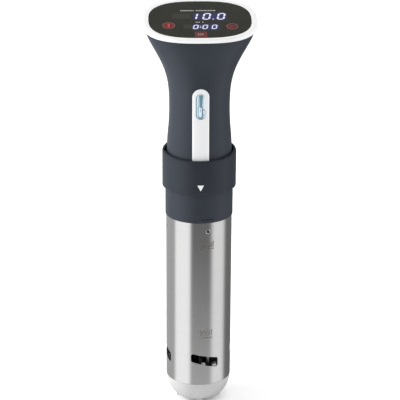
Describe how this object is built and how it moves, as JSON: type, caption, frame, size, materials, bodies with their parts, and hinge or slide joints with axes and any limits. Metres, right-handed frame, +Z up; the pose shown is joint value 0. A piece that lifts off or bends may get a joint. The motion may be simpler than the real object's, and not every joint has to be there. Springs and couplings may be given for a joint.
{
  "type": "sous vide circulator",
  "caption": "Immersion circulator: steel heater tube with slanted outlets and footed cap, slim slate grip with white strip and lens, tilted oval touch display, bayonet pot clamp and lever",
  "frame": {"origin": "on the steel tube's axis, at the lower edge of the plastic skirt where the tube comes out", "axes": "+Z up the tube towards the display, -Y the front of the grip, +X to the right seen from the front"},
  "size_m": [0.1002, 0.0923, 0.3741],
  "materials": {
    "slate_grip": "soft-touch satin",
    "slate_housing": "fine moulded satin",
    "white_rim": "satin gloss white",
    "pale_cap": "moulded satin",
    "display_glass": "dark smoked glass",
    "lens": "clear with a blue depth",
    "tube_steel": "fine lengthwise brushing",
    "screw_steel": "bright",
    "inner_steel": "plain",
    "iron_core": "laminated",
    "terminal_brass": "plain",
    "heat_sink_aluminium": "extruded",
    "circuit_board": "solder mask",
    "component_case": "moulded",
    "lit_digits": "lit segments",
    "engineering_plastic": "moulded",
    "seal_rubber": "plain"
  },
  "bodies": {
    "root": {"accent_strip": "white_rim", "bezel": "white_rim", "buzzer": "component_case", "capacitor": "component_case", "cord_gland": "seal_rubber", "display_board": "circuit_board", "display_glass": "display_glass", "grip_front_shell": "slate_grip", "grip_rear_shell": "slate_grip", "guide_bush": "engineering_plastic", "heat_sink": "heat_sink_aluminium", "heater_element": "inner_steel", "heater_terminals": "terminal_brass", "level_probes": "inner_steel", "lower_housing": "slate_housing", "motor_bearings": "inner_steel", "motor_bracket": "heat_sink_aluminium", "motor_can": "inner_steel", "motor_screws": "screw_steel", "motor_stator": "iron_core", "power_board": "circuit_board", "relay": "component_case", "seal_plate": "inner_steel", "seal_plate_gasket": "seal_rubber", "seal_plate_screws": "screw_steel", "shaft_guide": "engineering_plastic", "shaft_seal": "seal_rubber", "shell_screws": "screw_steel", "status_board": "circuit_board", "status_leds": "lit_digits", "status_lens": "lens", "steel_tube": "tube_steel", "temperature_digits": "lit_digits", "temperature_probe": "inner_steel", "timer_digits": "lit_digits", "touch_springs": "inner_steel", "transformer": "iron_core", "tube_screws": "screw_steel", "tube_seal": "seal_rubber"},
    "rotor": {"motor_rotor": "iron_core", "shaft_coupling": "terminal_brass", "drive_shaft": "inner_steel", "impeller": "engineering_plastic", "impeller_nut": "screw_steel"},
    "bottom_cap": {"bottom_cap": "pale_cap"},
    "clamp_ring": {"clamp_ring": "slate_housing", "arrow_mark": "white_rim", "hinge_pin": "screw_steel"},
    "clamp_lever": {"clamp_lever": "slate_grip", "jaw_pad": "seal_rubber", "clamp_spring": "inner_steel"}
  },
  "joints": [
    {"name": "impeller_spin", "type": "hinge", "parent": "root", "child": "rotor", "pos_m": [0, 0, -0.145], "axis": [0, 0, 1], "continuous": true},
    {"name": "cap_twist", "type": "hinge", "parent": "root", "child": "bottom_cap", "pos_m": [0, 0, -0.161], "axis": [0, 0, 1], "range_deg": [-20, 0]},
    {"name": "collar_twist", "type": "hinge", "parent": "root", "child": "clamp_ring", "pos_m": [0, 0, 0.044], "axis": [0, 0, 1], "range_deg": [0, 25]},
    {"name": "clamp_squeeze", "type": "hinge", "parent": "clamp_ring", "child": "clamp_lever", "pos_m": [0, 0.044, 0.042], "axis": [1, 0, 0], "range_deg": [0, 25], "stiffness_Nm_per_rad": 0.8, "springref_deg": -17.19, "deforming": ["clamp_spring"]}
  ]
}
